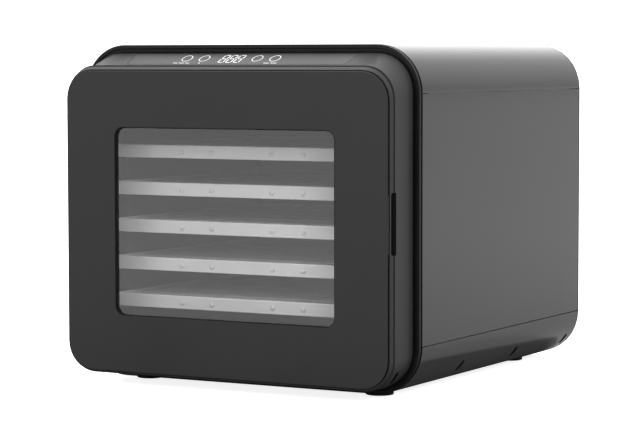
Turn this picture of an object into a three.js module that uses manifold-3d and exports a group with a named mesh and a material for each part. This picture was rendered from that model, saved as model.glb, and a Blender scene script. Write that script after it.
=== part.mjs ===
// Countertop food dehydrator with a glass front door, five slide-out trays and a rear fan heater.
// Millimetres, +Z up, door facing -Y, +X to the right seen from the front. Built with y = 0 on the door's
// front face, then moved so that the origin is the middle of the bounding box at floor level.
import * as THREE from "three";
import { mergeVertices } from "three/addons/utils/BufferGeometryUtils.js";
import Module from "manifold-3d";

const wasm = await Module();
wasm.setup();

// ---- driving dimensions ------------------------------------------------------------------------------
const DEPTH = 400.4; // door face to the power inlet's flange
const SKIN = 1.2; // sheet thickness of the housing
const HALF_W = 174; // half width of the housing
const FLOOR_Z = 4; // underside of the housing, feet below it
const TOP_Z = 311;
const HOUSE_R = 43; // corner radius of the housing's section
const HOUSE_Y0 = 49.5; // front edge of the sheet housing
const HOUSE_Y1 = 396;
const SEAM_LOW = 47; // joint between the bottom cover and the side panels
const SEAM_HIGH = 268; // joint between the side panels and the top cover
const SEAM_GAP = 0.3;
const BEZEL_Y0 = 8; // front of the bezel
const FACET_Y0 = 20; // control facet, lower front edge
const FACET_Z0 = 293.2;
const FACET_Y1 = 41.4; // control facet, upper back edge
const FACET_Z1 = 303.2;
const OPEN_W = 140; // half width of the chamber
const OPEN_Z0 = 50;
const OPEN_Z1 = 256;
const LINER_Y0 = 60.4;
const LINER_Y1 = 306;
const WIN_W = 112.8; // half width of the window
const WIN_Z0 = 66.1;
const WIN_Z1 = 236;
const WIN_R = 8;
const TRAY_COUNT = 5;
const TRAY_TOP = 220; // rim top of the highest tray
const TRAY_PITCH = 34.45;
const TRAY_RIM = 12;
const TRAY_W = 138; // half width of a tray
const TRAY_Y0 = 34;
const TRAY_Y1 = 300;
const HINGE_X = -165.4; // door hinge axis
const HINGE_Y = 5;
const HINGE_Z = [62, 242]; // middles of the two hinges
const FAN_Z = 153;
const FOOT_X = 121.3;
const FOOT_Y = [69.9, 348.2];
const FOOT_R = 12.7;
const SLOT_Y = [146, 264, 382.5]; // slots along the housing's lower corners

const FACET_ANGLE = Math.atan2(FACET_Z1 - FACET_Z0, FACET_Y1 - FACET_Y0);

// ---- materials ---------------------------------------------------------------------------------------
const mat = (color, roughness, metalness = 0, extra = {}) =>
  new THREE.MeshStandardMaterial({ color, roughness, metalness, ...extra });
const M = {
  coat: mat(0x4a4a4c, 0.45, 0.25),
  plastic: mat(0x3a3a3c, 0.5),
  door: mat(0x2c2c2e, 0.42),
  black: mat(0x121213, 0.55),
  rubber: mat(0x101010, 0.85),
  glass: mat(0x2a2e30, 0.05, 0, { transparent: true, opacity: 0.35 }),
  tray: mat(0xcfcfca, 0.5),
  liner: mat(0x6d6f70, 0.45, 0.5),
  steel: mat(0xa8aaac, 0.35, 0.9),
  magnet: mat(0x8d8f92, 0.3, 1),
  board: mat(0x1f4a2c, 0.6),
  motor: mat(0x77797b, 0.4, 0.8),
  fan: mat(0x5a5d60, 0.45, 0.6),
  heater: mat(0x5b4a40, 0.5, 0.7),
  wire: mat(0x6a1f1a, 0.6),
};

// ---- geometry helpers --------------------------------------------------------------------------------
function solid(geometry) {
  const bare = new THREE.BufferGeometry().setAttribute("position", geometry.getAttribute("position").clone());
  if (geometry.index) bare.setIndex(geometry.index.clone());
  const g = mergeVertices(bare, 1e-4);
  const p = g.getAttribute("position");
  const tris = [];
  let volume = 0;
  const a = new THREE.Vector3(), b = new THREE.Vector3(), c = new THREE.Vector3();
  for (let i = 0; i < g.index.count; i += 3) {
    const [i0, i1, i2] = [g.index.getX(i), g.index.getX(i + 1), g.index.getX(i + 2)];
    if (i0 === i1 || i1 === i2 || i0 === i2) continue;
    a.fromBufferAttribute(p, i0);
    b.fromBufferAttribute(p, i1);
    c.fromBufferAttribute(p, i2);
    volume += a.dot(b.cross(c));
    tris.push(i0, i1, i2);
  }
  if (volume < 0) for (let i = 0; i < tris.length; i += 3) [tris[i], tris[i + 1]] = [tris[i + 1], tris[i]];
  const mesh = new wasm.Mesh({
    numProp: 3,
    vertProperties: new Float32Array(p.array),
    triVerts: new Uint32Array(tris),
  });
  return new wasm.Manifold(mesh);
}

const join = (...s) => s.reduce((x, y) => x.add(y));
const cut = (base, ...tools) => tools.reduce((x, y) => x.subtract(y), base);

const box = (x0, x1, y0, y1, z0, z1) =>
  solid(new THREE.BoxGeometry(x1 - x0, y1 - y0, z1 - z0)
    .translate((x0 + x1) / 2, (y0 + y1) / 2, (z0 + z1) / 2));
const rodY = (x, z, r, y0, y1, n = 24) =>
  solid(new THREE.CylinderGeometry(r, r, y1 - y0, n).translate(x, (y0 + y1) / 2, z));
const rodZ = (x, y, r, z0, z1, n = 24) =>
  solid(new THREE.CylinderGeometry(r, r, z1 - z0, n).rotateX(Math.PI / 2).translate(x, y, (z0 + z1) / 2));

// Rounded rectangle in the XZ plane, symmetric about x = 0.
function outline(w, z0, z1, r, n = 8) {
  const pts = [];
  const corners = [[w - r, z1 - r, 0], [-w + r, z1 - r, 90], [-w + r, z0 + r, 180], [w - r, z0 + r, 270]];
  for (const [cx, cz, a0] of corners)
    for (let i = 0; i <= n; i++) {
      const a = THREE.MathUtils.degToRad(a0 + (90 * i) / n);
      pts.push([cx + r * Math.cos(a), cz + r * Math.sin(a)]);
    }
  return pts;
}

// A solid through a stack of outlines with equal point counts, each at its own y.
function loft(rings) {
  const n = rings[0][1].length;
  const pos = [];
  for (const [y, pts] of rings) for (const [x, z] of pts) pos.push(x, y, z);
  const index = [];
  for (let k = 0; k + 1 < rings.length; k++)
    for (let i = 0; i < n; i++) {
      const j = (i + 1) % n;
      const [a, b, c, d] = [k * n + i, k * n + j, (k + 1) * n + j, (k + 1) * n + i];
      index.push(a, c, b, a, d, c);
    }
  const flat = rings[0][1].map(([x, z]) => new THREE.Vector2(x, z));
  const last = (rings.length - 1) * n;
  const flatLast = rings[rings.length - 1][1].map(([x, z]) => new THREE.Vector2(x, z));
  for (const [i, j, k] of THREE.ShapeUtils.triangulateShape(flat, [])) index.push(i, j, k);
  for (const [i, j, k] of THREE.ShapeUtils.triangulateShape(flatLast, [])) index.push(last + i, last + k, last + j);
  const g = new THREE.BufferGeometry().setAttribute("position", new THREE.Float32BufferAttribute(pos, 3));
  g.setIndex(index);
  return solid(g);
}
const slab = (pts, y0, y1) => loft([[y0, pts], [y1, pts]]);

// A plate with rounded ends and its length along local X, extruded along local Z, placed by a matrix.
function stadium(length, width, thick, matrix, n = 3) {
  const s = new THREE.Shape();
  const r = width / 2, h = length / 2 - r;
  s.absarc(h, 0, r, -Math.PI / 2, Math.PI / 2, false);
  s.absarc(-h, 0, r, Math.PI / 2, (3 * Math.PI) / 2, false);
  const g = new THREE.ExtrudeGeometry(s, { depth: thick, bevelEnabled: false, curveSegments: n });
  return solid(g.translate(0, 0, -thick / 2).applyMatrix4(matrix));
}

// Frame of the control facet: X across, Y up the slope, Z out of the surface.
const facetFrame = new THREE.Matrix4().makeTranslation(0, FACET_Y0, FACET_Z0)
  .multiply(new THREE.Matrix4().makeRotationX(FACET_ANGLE));
const facetBox = (x0, x1, s0, s1, n0, n1) =>
  solid(new THREE.BoxGeometry(x1 - x0, s1 - s0, n1 - n0)
    .translate((x0 + x1) / 2, (s0 + s1) / 2, (n0 + n1) / 2).applyMatrix4(facetFrame));
function facetPlate(halfFront, halfBack, s0, s1, n0, n1) {
  const s = new THREE.Shape([
    new THREE.Vector2(-halfFront, s0), new THREE.Vector2(halfFront, s0),
    new THREE.Vector2(halfBack, s1), new THREE.Vector2(-halfBack, s1)]);
  const g = new THREE.ExtrudeGeometry(s, { depth: n1 - n0, bevelEnabled: false });
  return solid(g.translate(0, 0, n0).applyMatrix4(facetFrame));
}

const group = new THREE.Group();
group.name = "food_dehydrator";
function node(name, body, material) {
  const m = body.getMesh();
  const g = new THREE.BufferGeometry();
  g.setAttribute("position", new THREE.BufferAttribute(Float32Array.from(m.vertProperties), 3));
  g.setIndex(new THREE.BufferAttribute(Uint32Array.from(m.triVerts), 1));
  g.translate(0, -DEPTH / 2, 0);
  g.computeVertexNormals();
  const mesh = new THREE.Mesh(g, material);
  mesh.name = name;
  group.add(mesh);
}

// ---- sheet housing -----------------------------------------------------------------------------------
const outer = slab(outline(HALF_W, FLOOR_Z, TOP_Z, HOUSE_R, 10), HOUSE_Y0, HOUSE_Y1);
const inner = slab(outline(HALF_W - SKIN, FLOOR_Z + SKIN, TOP_Z - SKIN, HOUSE_R - SKIN, 10),
  HOUSE_Y0 - 1, HOUSE_Y1 + 1);
const skin = cut(outer, inner);
const within = (x0, x1, z0, z1) => box(x0, x1, HOUSE_Y0 - 1, HOUSE_Y1 + 1, z0, z1);
const SCREW = { x: 150, low: 25, high: 290, y: 383 }; // rear cover screws and the tabs that take them
const tabRegion = slab(outline(HALF_W - 0.6, FLOOR_Z + 0.6, TOP_Z - 0.6, HOUSE_R - 0.6, 10), SCREW.y, SCREW.y + 1.5);
const tab = (side, z0, z1) => box(side * SCREW.x - 7, side * SCREW.x + 7, SCREW.y, SCREW.y + 1.5, z0, z1)
  .intersect(tabRegion);
const tabHole = (side, z) => rodY(side * SCREW.x, z, 2.3, SCREW.y - 1, SCREW.y + 3, 12);
node("top_cover", cut(
  join(skin.intersect(within(-200, 200, SEAM_HIGH + SEAM_GAP / 2, 320)), tab(1, 281, 308), tab(-1, 281, 308)),
  tabHole(1, SCREW.high), tabHole(-1, SCREW.high)), M.coat);
for (const [name, s] of [["left_side_panel", -1], ["right_side_panel", 1]])
  node(name, box(Math.min(s * HALF_W, s * (HALF_W - SKIN)), Math.max(s * HALF_W, s * (HALF_W - SKIN)),
    HOUSE_Y0, HOUSE_Y1, SEAM_LOW + SEAM_GAP / 2, SEAM_HIGH - SEAM_GAP / 2), M.coat);

// Slot cutter lying along a lower corner arc, angle measured down from the horizontal.
function cornerSlot(side, y, cx, cz, r, angle) {
  const a = THREE.MathUtils.degToRad(angle);
  const radial = new THREE.Vector3(side * Math.cos(a), 0, -Math.sin(a));
  const along = new THREE.Vector3(0, 1, 0);
  const tangent = new THREE.Vector3().crossVectors(along, radial);
  const m = new THREE.Matrix4().makeBasis(tangent, along, radial)
    .setPosition(side * cx + radial.x * r, y, cz + radial.z * r);
  return stadium(13, 6.4, 12, m);
}
const slots = [];
for (const y of SLOT_Y)
  for (const s of [-1, 1]) slots.push(cornerSlot(s, y, HALF_W - HOUSE_R, FLOOR_Z + HOUSE_R, HOUSE_R, 40));
const footHoles = [];
for (const x of [-FOOT_X, FOOT_X]) for (const y of FOOT_Y) footHoles.push(rodZ(x, y, 2.4, 2, 8, 12));
node("bottom_cover", cut(
  join(skin.intersect(within(-200, 200, 0, SEAM_LOW - SEAM_GAP / 2)), tab(1, 7, 34), tab(-1, 7, 34)),
  ...slots, ...footHoles, tabHole(1, SCREW.low), tabHole(-1, SCREW.low)), M.coat);

// Strips behind the four seams.
for (const [name, s, z] of [["seam_strip_upper_left", -1, SEAM_HIGH], ["seam_strip_upper_right", 1, SEAM_HIGH],
  ["seam_strip_lower_left", -1, SEAM_LOW], ["seam_strip_lower_right", 1, SEAM_LOW]])
  node(name, box(Math.min(s * 172.0, s * 171.0), Math.max(s * 172.0, s * 171.0), 64, 380, z - 6, z + 6), M.steel);

// ---- rear cover --------------------------------------------------------------------------------------
const INLET = { x: 112, z: 42, w: 14.5, h: 11.5 }; // half sizes of the inlet's body
const vents = [];
for (const x of [-46, 46])
  for (let k = 0; k < 8; k++)
    vents.push(stadium(72, 4, 12, new THREE.Matrix4().makeRotationX(Math.PI / 2).setPosition(x, 397, 104 + k * 14), 2));
const rearHoles = [];
for (const s of [-1, 1]) for (const z of [SCREW.low, SCREW.high]) rearHoles.push(rodY(s * SCREW.x, z, 2.3, 394, 400, 12));
const rearLip = cut(slab(outline(172.4, 5.6, 309.4, 41.4, 8), 386, 396.6),
  slab(outline(171, 7, 308, 40, 8), 385, 396.3));
node("rear_cover", cut(
  join(slab(outline(HALF_W, FLOOR_Z, TOP_Z, HOUSE_R, 8), 396.3, 398.3), rearLip),
  ...vents, ...rearHoles,
  box(INLET.x - INLET.w, INLET.x + INLET.w, 394, 400, INLET.z - INLET.h, INLET.z + INLET.h)), M.coat);
let k = 0;
for (const s of [-1, 1])
  for (const z of [SCREW.low, SCREW.high])
    node(`rear_screw_${++k}`, cut(
      join(rodY(s * SCREW.x, z, 3.6, 398.6, 400.3, 16), rodY(s * SCREW.x, z, 1.9, 380, 398.8, 12)),
      box(s * SCREW.x - 2.2, s * SCREW.x + 2.2, 399.5, 401, z - 0.5, z + 0.5),
      box(s * SCREW.x - 0.5, s * SCREW.x + 0.5, 399.5, 401, z - 2.2, z + 2.2)), M.steel);

// Appliance inlet with three blades in its recess.
node("power_inlet", join(
  cut(join(
    box(INLET.x - 18, INLET.x + 18, 398.6, 400.4, INLET.z - 14.5, INLET.z + 14.5),
    box(INLET.x - INLET.w + 0.3, INLET.x + INLET.w - 0.3, 378, 399, INLET.z - INLET.h + 0.3, INLET.z + INLET.h - 0.3)),
    box(INLET.x - 12.4, INLET.x + 12.4, 384, 402, INLET.z - 9.4, INLET.z + 9.4)),
  box(INLET.x - 8, INLET.x - 6, 383, 397, INLET.z - 7, INLET.z - 3),
  box(INLET.x + 6, INLET.x + 8, 383, 397, INLET.z - 7, INLET.z - 3),
  box(INLET.x - 1, INLET.x + 1, 383, 398, INLET.z - 4, INLET.z)), M.black);

// ---- front bezel, trim ring, controls ----------------------------------------------------------------
const bezelOuter = loft([
  [BEZEL_Y0, outline(168.3, 11, 292.6, 28.5)],
  [FACET_Y0, outline(168.3, 10.9, FACET_Z0, 29)],
  [FACET_Y1, outline(168, 10.6, FACET_Z1, 33.5)],
  [42.4, outline(168, 10.6, FACET_Z1, 33.5)]]);
const bezelCavity = join(
  loft([[11, outline(160, 18, 287.6, 24)], [FACET_Y0, outline(160, 18, 287.6, 24)],
    [FACET_Y1, outline(160, 18, 296, 28)], [61, outline(160, 18, 296, 28)]]),
  slab(outline(169, 9, 306, 38), 49.6, 61));
const chamberWall = slab(outline(OPEN_W + 2.5, OPEN_Z0 - 2.5, OPEN_Z1 + 2.5, 12.5), BEZEL_Y0 + 1, 60);
const bezelSlots = [-1, 1].map((s) => cornerSlot(s, 18.5, 168.2 - 31, 10.8 + 31, 31, 37));
const hingePockets = HINGE_Z.map((z) => box(-167.4, -150, 7.5, 9.9, z - 13.3, z + 13.3));
const FINGER = { z0: 130, z1: 184 };
const fingerCut = (y0, y1) => stadium(FINGER.z1 - FINGER.z0, y1 - y0, 22,
  new THREE.Matrix4().makeBasis(new THREE.Vector3(0, 0, 1), new THREE.Vector3(0, 1, 0), new THREE.Vector3(-1, 0, 0))
    .setPosition(169, (y0 + y1) / 2, (FINGER.z0 + FINGER.z1) / 2), 4);
const strikeAt = [[154, 100], [154, 214]];
const strikePockets = strikeAt.map(([x, z]) => box(x - 6.3, x + 6.3, 7, 9.7, z - 10.3, z + 10.3));
node("front_bezel", cut(
  join(
    cut(join(bezelOuter,
      slab(outline(164, 14, 300, 32), 42, 47.5),
      slab(outline(171.6, 6.4, 308.6, 40.6), 47.1, 60)), bezelCavity),
    chamberWall),
  slab(outline(OPEN_W, OPEN_Z0, OPEN_Z1, 10), BEZEL_Y0 - 1, 61),
  facetPlate(112.9, 115.4, 0.7, 23.1, -1.9, 3),
  facetBox(-24, 8, 5, 21, -9, -1),
  ...bezelSlots, ...hingePockets, ...strikePockets, fingerCut(7, 10.4)), M.plastic);
node("trim_ring", join(
  cut(slab(outline(HALF_W, FLOOR_Z, TOP_Z, HOUSE_R, 8), 44.6, 46.8),
    slab(outline(164.4, 13.6, 300.4, 32.4, 8), 44, 48)),
  cut(slab(outline(HALF_W, FLOOR_Z, TOP_Z, HOUSE_R, 8), 43.2, 44.8),
    slab(outline(170.5, 7.5, 305.2, 39.5, 8), 42, 45))), M.rubber);
node("control_panel", facetPlate(112.6, 115.1, 1.0, 22.8, -1.6, 0), M.door);
node("display_board", join(
  facetBox(-78, 62, 4, 24, -10.4, -8.8),
  facetBox(-23.5, 7.5, 5.5, 20.5, -9, -2.1),
  facetBox(-60.5, -49, 7, 18.5, -9, -7.6), facetBox(-42.3, -30.8, 7, 18.5, -9, -7.6),
  facetBox(13, 24.5, 7, 18.5, -9, -7.6), facetBox(31.2, 42.7, 7, 18.5, -9, -7.6),
  facetBox(-72, -64, 8, 16, -14, -10.2), facetBox(-14, 0, 7, 19, -13, -10.2)), M.board);

// ---- chamber -----------------------------------------------------------------------------------------
const trayTop = (i) => TRAY_TOP - TRAY_PITCH * i;
const rails = [];
for (let i = 0; i < TRAY_COUNT; i++) {
  const z = trayTop(i) - TRAY_RIM - 0.4;
  rails.push(box(OPEN_W - 7, OPEN_W + 0.6, 62, 304, z - 2, z), box(-OPEN_W - 0.6, -OPEN_W + 7, 62, 304, z - 2, z));
}
node("chamber_liner", join(
  cut(slab(outline(OPEN_W + 1.2, OPEN_Z0 - 1.2, OPEN_Z1 + 1.2, 11.2, 4), LINER_Y0, LINER_Y1),
    slab(outline(OPEN_W, OPEN_Z0, OPEN_Z1, 10, 4), LINER_Y0 - 1, LINER_Y1 + 1)), ...rails), M.liner);
for (const [name, y] of [["liner_bracket_front", 100], ["liner_bracket_rear", 284]])
  node(name, join(box(-118, 118, y, y + 1.5, 5.5, 48.5), box(-118, 118, y, y + 14, 47, 48.5),
    box(-118, 118, y, y + 14, 5.5, 7)), M.steel);

const baffleHoles = [];
for (let row = 0; row < 6; row++)
  for (let col = 0; col < 7; col++)
    baffleHoles.push(box(-111 + col * 33, -87 + col * 33, 304, 310, 71 + row * 31, 78 + row * 31));
node("rear_baffle", cut(slab(outline(148, 42, 264, 12, 4), 306.4, 307.6), ...baffleHoles), M.liner);

// ---- fan and heater ----------------------------------------------------------------------------------
const backHoles = [];
for (let i = 0; i < 8; i++) {
  const a = (Math.PI / 4) * i + Math.PI / 8;
  backHoles.push(rodY(52 * Math.cos(a), FAN_Z + 52 * Math.sin(a), 13, 349, 354, 14));
}
node("fan_housing", cut(
  join(
    cut(slab(outline(118, 52, 254, 24, 5), 308, 352), slab(outline(116.8, 53.2, 252.8, 22.8, 5), 307, 350.8)),
    cut(slab(outline(132, 45, 261, 14, 5), 308, 309.2), slab(outline(116.8, 53.2, 252.8, 22.8, 5), 307, 311))),
  ...backHoles, rodY(0, FAN_Z, 9, 349, 354, 20)), M.steel);
node("heater_element", solid(new THREE.TorusGeometry(86, 3.2, 8, 40).rotateX(Math.PI / 2).translate(0, 316.4, FAN_Z)), M.heater);
node("heater_bracket", join(
  box(-6, 6, 320, 321.2, FAN_Z - 96, FAN_Z + 96), box(-96, 96, 320, 321.2, FAN_Z - 6, FAN_Z + 6)), M.steel);

const hub = rodY(0, FAN_Z, 15, 326, 343, 24);
const blades = [];
for (let i = 0; i < 7; i++) {
  const g = new THREE.BoxGeometry(1.4, 24, 62).rotateZ(THREE.MathUtils.degToRad(52)).translate(0, 334.5, 44);
  g.rotateY((2 * Math.PI * i) / 7).translate(0, 0, FAN_Z);
  blades.push(solid(g));
}
node("fan_impeller", cut(join(hub, ...blades).intersect(rodY(0, FAN_Z, 76, 325, 345, 48)),
  rodY(0, FAN_Z, 3.3, 330, 346, 16)), M.fan);
node("motor_shaft", rodY(0, FAN_Z, 3, 331, 364, 16), M.steel);
node("motor_bracket", cut(join(
  box(-70, 70, 352.4, 353.8, FAN_Z - 14, FAN_Z + 14),
  rodY(-22, FAN_Z, 3, 353, 355.7, 12), rodY(22, FAN_Z, 3, 353, 355.7, 12)),
  rodY(0, FAN_Z, 9, 350, 358, 20)), M.steel);
node("fan_motor", cut(join(rodY(0, FAN_Z, 31, 356, 384, 32), rodY(0, FAN_Z, 9, 383, 388, 20)),
  rodY(0, FAN_Z, 3.5, 355, 366, 16)), M.motor);
node("thermal_cutout", join(rodY(-96, 236, 8, 352.4, 357, 20), box(-101, -99, 356, 364, 233, 239),
  box(-93, -91, 356, 364, 233, 239)), M.black);
node("temperature_sensor", join(rodY(116, 244, 3, 292, 306.1, 14), rodY(116, 244, 1.6, 284, 293, 10)), M.steel);

node("power_board", join(
  box(-50, 60, 186, 266, 14, 15.6),
  ...[[-44, 192], [54, 192], [-44, 260], [54, 260]].map(([x, y]) => rodZ(x, y, 3, 5.5, 15, 12)),
  box(-38, -8, 200, 232, 15, 38), box(4, 26, 196, 214, 15, 33), box(34, 50, 198, 226, 15, 30),
  rodZ(10, 244, 8, 15, 40, 20), rodZ(34, 246, 6, 15, 34, 16)), M.board);
const loomPath = new THREE.CatmullRomCurve3([
  new THREE.Vector3(62, 230, 22), new THREE.Vector3(110, 230, 20), new THREE.Vector3(150, 224, 34),
  new THREE.Vector3(157, 210, 80), new THREE.Vector3(157, 160, 200), new THREE.Vector3(155, 100, 262),
  new THREE.Vector3(130, 72, 278), new THREE.Vector3(96, 52, 281), new THREE.Vector3(66, 40, 281)]);
const loomRing = new THREE.TubeGeometry(loomPath, 30, 2.6, 8, false);
node("wiring_loom", (() => {
  // Close both ends of the tube with a fan of triangles.
  const p = loomRing.getAttribute("position"), ring = 9, rows = 31;
  const pos = Array.from(p.array), index = Array.from(loomRing.index.array);
  for (const [row, t, flip] of [[0, 0, false], [rows - 1, 1, true]]) {
    const c = loomPath.getPointAt(t), centre = pos.length / 3;
    pos.push(c.x, c.y, c.z);
    for (let j = 0; j < ring - 1; j++) {
      const [a, b] = [row * ring + j, row * ring + j + 1];
      index.push(centre, flip ? b : a, flip ? a : b);
    }
  }
  const g = new THREE.BufferGeometry().setAttribute("position", new THREE.Float32BufferAttribute(pos, 3));
  g.setIndex(index);
  return solid(g);
})(), M.wire);

// ---- feet --------------------------------------------------------------------------------------------
for (const [yName, y] of [["front", FOOT_Y[0]], ["rear", FOOT_Y[1]]])
  for (const [xName, x] of [["left", -FOOT_X], ["right", FOOT_X]]) {
    node(`foot_${yName}_${xName}`, cut(rodZ(x, y, FOOT_R, 0, 3.7, 36), rodZ(x, y, 4.2, -1, 2, 20),
      rodZ(x, y, 2.4, -1, 5, 12)), M.rubber);
    node(`foot_screw_${yName}_${xName}`, join(rodZ(x, y, 3.6, 0.6, 1.8, 16), rodZ(x, y, 1.9, 1.5, 13, 12)), M.steel);
  }

// ---- door --------------------------------------------------------------------------------------------
const window0 = slab(outline(WIN_W, WIN_Z0, WIN_Z1, WIN_R), -1, 20);
const knuckle = (z0, z1, r) => rodZ(HINGE_X, HINGE_Y, r, z0, z1, 16);
const doorNotches = HINGE_Z.flatMap((z) => [
  knuckle(z - 5.3, z + 5.3, 2.5),
  box(HINGE_X - 6, HINGE_X + 2.2, HINGE_Y - 0.2, HINGE_Y + 5, z - 5.3, z + 5.3),
  box(HINGE_X - 6, HINGE_X, 3.1, HINGE_Y + 5, z - 5.3, z + 5.3)]);
const doorKnuckles = HINGE_Z.flatMap((z) => [-1, 1].map((s) =>
  knuckle(Math.min(z + s * 5.3, z + s * 12.5), Math.max(z + s * 5.3, z + s * 12.5), 2.1)
    .intersect(box(-180, -150, 3.3, 9, z - 20, z + 20))));
const pinHoles = HINGE_Z.map((z) => knuckle(z - 11.3, z + 11.3, 1.25));
node("door_plate", cut(
  loft([[0, outline(165, 14.4, 287.2, 25)], [0.4, outline(165.3, 14.1, 287.5, 25.3)],
    [3, outline(165.3, 14.1, 287.5, 25.3)]]), window0), M.door);
const magnetPockets = strikeAt.map(([x, z]) => box(x - 6.3, x + 6.3, 3.9, 6, z - 10.3, z + 10.3));
node("door_frame", cut(
  join(
    cut(loft([[2, outline(166.7, 12.7, 288.9, 26.7)], [5.4, outline(168.2, 11.2, 291.3, 28.2)]]),
      slab(outline(166.3, 13.1, 288.5, 26.3), 1, 3.3)),
    slab(outline(137, 53, 253, 12), 5, 14), ...doorKnuckles),
  slab(outline(WIN_W + 5.6, WIN_Z0 - 5.6, WIN_Z1 + 5.6, WIN_R + 5.6), 2, 20),
  slab(outline(122, 56.6, 245.5, 6), 2, 7.7),
  ...doorNotches, ...pinHoles, ...magnetPockets, fingerCut(3.1, 7)), M.plastic);
node("door_glass", slab(outline(121.7, 56.9, 245.2, 5.7, 4), 3.2, 7.3), M.glass);
node("door_seal", cut(slab(outline(146, 44, 262, 16), 5.7, 7.7), slab(outline(140.5, 49.5, 256.5, 10.5), 5, 9)), M.rubber);
strikeAt.forEach(([x, z], i) => {
  node(`door_magnet_${i ? "upper" : "lower"}`, box(x - 6, x + 6, 4.1, 5.3, z - 10, z + 10), M.magnet);
  node(`strike_plate_${i ? "upper" : "lower"}`, box(x - 6, x + 6, 8.1, 9.5, z - 10, z + 10), M.steel);
});
HINGE_Z.forEach((z, i) => {
  const side = i ? "upper" : "lower";
  node(`hinge_lug_${side}`, cut(join(
    knuckle(z - 5, z + 5, 1.9),
    box(HINGE_X - 1.1, HINGE_X + 1.4, HINGE_Y, 9.6, z - 5, z + 5),
    box(-167, -150.4, 8.1, 9.6, z - 13, z + 13)), knuckle(z - 6, z + 6, 1.1)), M.steel);
  node(`hinge_pin_${side}`, rodZ(HINGE_X, HINGE_Y, 1, z - 11, z + 11, 16), M.steel);
});

// ---- trays -------------------------------------------------------------------------------------------
for (let i = 0; i < TRAY_COUNT; i++) {
  const z1 = trayTop(i), z0 = z1 - TRAY_RIM;
  const holes = [];
  for (let row = 0; row < 6; row++)
    for (let col = 0; col < 6; col++) {
      const x = -127 + col * 42.9, y = TRAY_Y0 + 7.5 + row * 42.3;
      holes.push(box(x, x + 39.5, y, y + 39.5, z1 - 8, z1 - 1));
    }
  node(`tray_${i + 1}`, cut(
    box(-TRAY_W, TRAY_W, TRAY_Y0, TRAY_Y1, z0, z1),
    box(-TRAY_W + 2.4, TRAY_W - 2.4, TRAY_Y0 + 2.4, TRAY_Y1 - 2.4, z0 - 1, z1 - 4.4),
    box(-TRAY_W + 2.4, TRAY_W - 2.4, TRAY_Y0 + 2.4, TRAY_Y1 - 2.4, z1 - 2.4, z1 + 1),
    ...holes), M.tray);
}

export default group;
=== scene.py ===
"""Looks of the food dehydrator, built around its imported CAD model.

Lengths are in mm unless a comment says metres. x runs across the front, y runs back from the door's front
face, and z runs up from the surface that the feet stand on.
"""
import math

import bmesh
import bpy
from mathutils import Matrix, Vector


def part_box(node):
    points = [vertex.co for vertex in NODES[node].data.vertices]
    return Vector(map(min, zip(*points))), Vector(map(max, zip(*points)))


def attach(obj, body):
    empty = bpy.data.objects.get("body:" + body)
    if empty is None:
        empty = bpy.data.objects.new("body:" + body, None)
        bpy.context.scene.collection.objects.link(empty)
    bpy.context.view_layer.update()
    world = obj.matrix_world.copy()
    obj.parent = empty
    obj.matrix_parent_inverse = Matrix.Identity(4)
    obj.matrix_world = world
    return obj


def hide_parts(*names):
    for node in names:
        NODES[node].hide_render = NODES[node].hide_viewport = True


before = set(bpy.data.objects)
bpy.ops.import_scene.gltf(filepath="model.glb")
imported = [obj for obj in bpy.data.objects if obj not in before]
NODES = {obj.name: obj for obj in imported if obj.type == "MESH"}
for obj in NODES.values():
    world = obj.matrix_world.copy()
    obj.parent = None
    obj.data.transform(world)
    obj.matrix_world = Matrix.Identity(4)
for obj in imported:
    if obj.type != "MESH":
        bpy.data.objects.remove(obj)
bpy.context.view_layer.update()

MM = 0.001
FACE_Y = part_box("door_plate")[0].y  # plane of the door's front face, in metres


# ---- mesh helpers ------------------------------------------------------------------------------------
def at(x, y, z):
    """A point in the row frame, in metres."""
    return Vector((x * MM, FACE_Y + y * MM, z * MM))


def outline(w, z0, z1, r, n=14, steps=8):
    """Rounded rectangle symmetric about x = 0, as (x, z) anticlockwise, with points along its sides too."""
    corners = [(w - r, z1 - r, 0), (-w + r, z1 - r, 90), (-w + r, z0 + r, 180), (w - r, z0 + r, 270)]
    arcs = []
    for cx, cz, start in corners:
        angles = [math.radians(start + 90 * i / n) for i in range(n + 1)]
        arcs.append([(cx + r * math.cos(a), cz + r * math.sin(a)) for a in angles])
    points = []
    for k, arc in enumerate(arcs):
        points += arc
        a, b = arc[-1], arcs[(k + 1) % 4][0]
        points += [(a[0] + (b[0] - a[0]) * t / steps, a[1] + (b[1] - a[1]) * t / steps)
                   for t in range(1, steps)]
    return points


def inset(plan, d, n=14):
    """The loop d inside a plan of (half width, bottom, top, corner radius). A negative d is outside it."""
    w, z0, z1, r = plan
    return outline(w - d, z0 + d, z1 - d, r - d, n)


def arc_steps(radius, n):
    """(distance in from the side, distance back from the front) round an edge, from the side to the front."""
    for k in range(n + 1):
        a = math.radians(90 * k / n)
        yield radius * (1 - math.cos(a)), radius * (1 - math.sin(a))


def even_normals(obj, weight=80):
    """Lets the largest faces set the shading, so that flat areas stay flat up to their rounded edges."""
    m = obj.modifiers.new("normals", "WEIGHTED_NORMAL")
    m.mode, m.weight = "FACE_AREA", weight


def bevel(obj, width, segments, angle):
    """Rounds each edge sharper than angle, in degrees."""
    m = obj.modifiers.new("round", "BEVEL")
    m.width, m.segments = width * MM, segments
    m.limit_method, m.angle_limit = "ANGLE", math.radians(angle)


def bridge(bm, a, b):
    """A band of quads between two closed loops of equal count."""
    n = len(a)
    for i in range(n):
        bm.faces.new((a[i], a[(i + 1) % n], b[(i + 1) % n], b[i]))


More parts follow.
